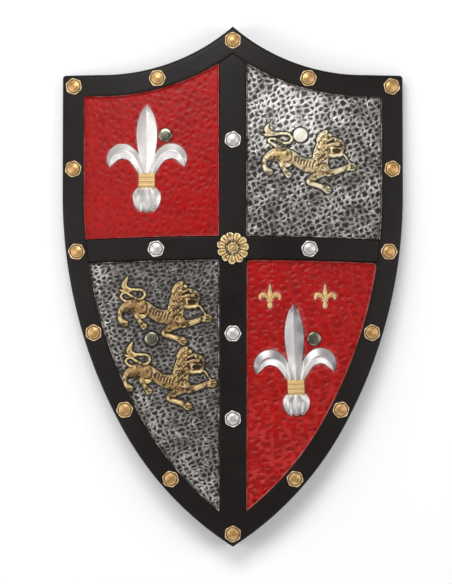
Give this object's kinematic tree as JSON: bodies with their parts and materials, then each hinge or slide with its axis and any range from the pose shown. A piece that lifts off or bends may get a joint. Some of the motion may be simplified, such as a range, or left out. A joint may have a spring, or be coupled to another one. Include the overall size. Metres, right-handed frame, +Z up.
{
  "type": "heater_shield",
  "caption": "Quartered heater shield, moulded in painted plastic with a raised border and cross, domed bolts, lions and fleurs-de-lis, with rivets and two straps behind.",
  "frame": {"origin": "middle of the outline's box, in the plane of the back rim that the shield lies on", "axes": "+Z up out of the face, +Y towards the top point, +X to the right as seen from the front"},
  "size_m": [0.3156, 0.48, 0.0412],
  "materials": {
    "painted_shell": "satin",
    "polished_rivet": "polished",
    "black_webbing": "matte"
  },
  "bodies": {
    "root": {"shield_shell": "painted_shell", "rivet_upper_left": "polished_rivet", "rivet_upper_right": "polished_rivet", "rivet_lower_left": "polished_rivet", "rivet_lower_right": "polished_rivet", "hand_strap": "black_webbing", "arm_strap": "black_webbing"}
  },
  "joints": []
}
